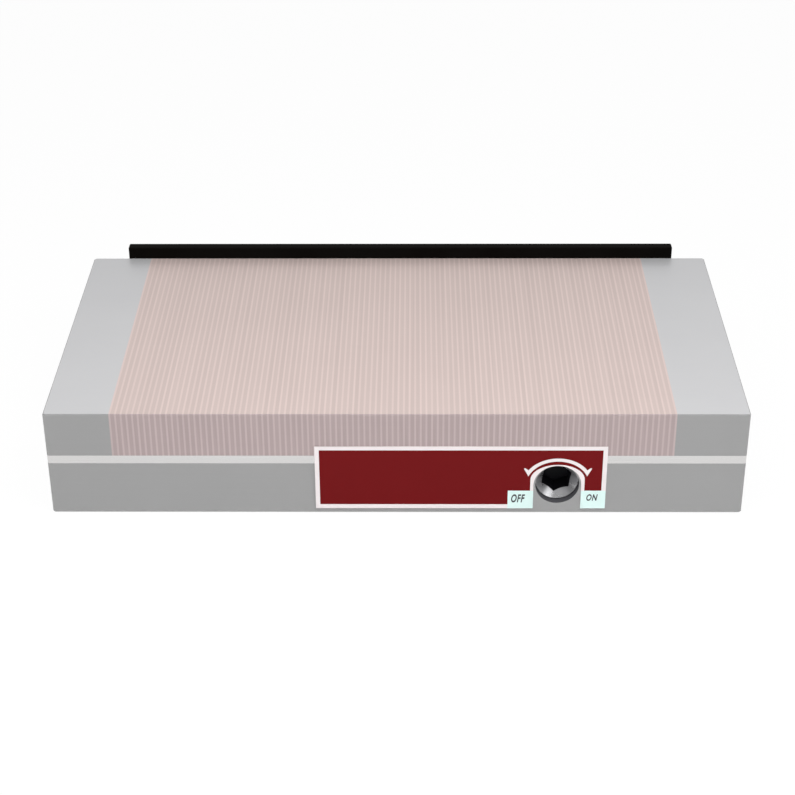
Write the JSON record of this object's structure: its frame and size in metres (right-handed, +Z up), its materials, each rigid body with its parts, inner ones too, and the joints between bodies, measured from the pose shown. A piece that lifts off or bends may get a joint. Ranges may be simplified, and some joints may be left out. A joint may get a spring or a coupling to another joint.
{
  "type": "permanent magnetic chuck",
  "caption": "Flat rectangular grinding chuck with a fine-pole striped working face, a hex key socket in the front, a sliding magnet pack inside and a raised black stop rail along the back.",
  "frame": {"origin": "middle of the underside of the base housing, where it rests on the machine table", "axes": "+X along the length, to the right seen from the key's side; +Y to the back, towards the stop rail; +Z up, out of the working face"},
  "size_m": [0.3, 0.1596, 0.0558],
  "materials": {
    "ground_steel": "fine ground",
    "pole_steel": "fine ground",
    "copper": "fine ground copper",
    "polished_stainless": "bright ground",
    "shaft_steel": "turned, bright",
    "hardened_steel": "ground",
    "black_oxide_steel": "black oxide",
    "black_rail": "black oxide, slight sheen",
    "bronze": "machined",
    "aluminium": "milled",
    "magnet": "sintered, matt",
    "black_rubber": "matt",
    "red_plate": "enamel on aluminium"
  },
  "bodies": {
    "chuck_body": {"base_housing": "ground_steel", "spacer_frame": "polished_stainless", "lower_gasket": "black_rubber", "upper_gasket": "black_rubber", "left_end_block": "ground_steel", "right_end_block": "ground_steel", "steel_poles": "pole_steel", "copper_separators": "copper", "plate_bolts": "black_oxide_steel", "front_guide": "bronze", "rear_guide": "bronze", "stop_pin": "hardened_steel", "rail_bolts": "black_oxide_steel", "nameplate": "red_plate"},
    "magnet_pack": {"pack_carrier": "aluminium", "pack_poles": "pole_steel", "pack_magnets": "magnet", "drive_block": "hardened_steel"},
    "switch_shaft": {"drive_shaft": "shaft_steel"},
    "die": {"die_block": "bronze"},
    "rail": {"stop_rail": "black_rail"}
  },
  "joints": [
    {"name": "pack_shift", "type": "slide", "parent": "chuck_body", "child": "magnet_pack", "axis": [1, 0, 0], "range_m": [0, 0.0012]},
    {"name": "switch_turn", "type": "hinge", "parent": "chuck_body", "child": "switch_shaft", "pos_m": [0.0695, -0.0564, 0.0148], "axis": [0, 1, 0], "range_deg": [0, 180]},
    {"name": "die_turn", "type": "hinge", "parent": "switch_shaft", "child": "die", "pos_m": [0.0689, -0.0494, 0.0148], "axis": [0, 1, 0], "range_deg": [-180, 0]},
    {"name": "rail_height", "type": "slide", "parent": "chuck_body", "child": "rail", "axis": [0, 0, 1], "range_m": [-0.006, 0.003]}
  ],
  "couplings": [
    {"joint": "switch_turn", "follows": "pack_shift", "rad_per_m": 2618},
    {"joint": "die_turn", "follows": "pack_shift", "rad_per_m": -2618}
  ]
}
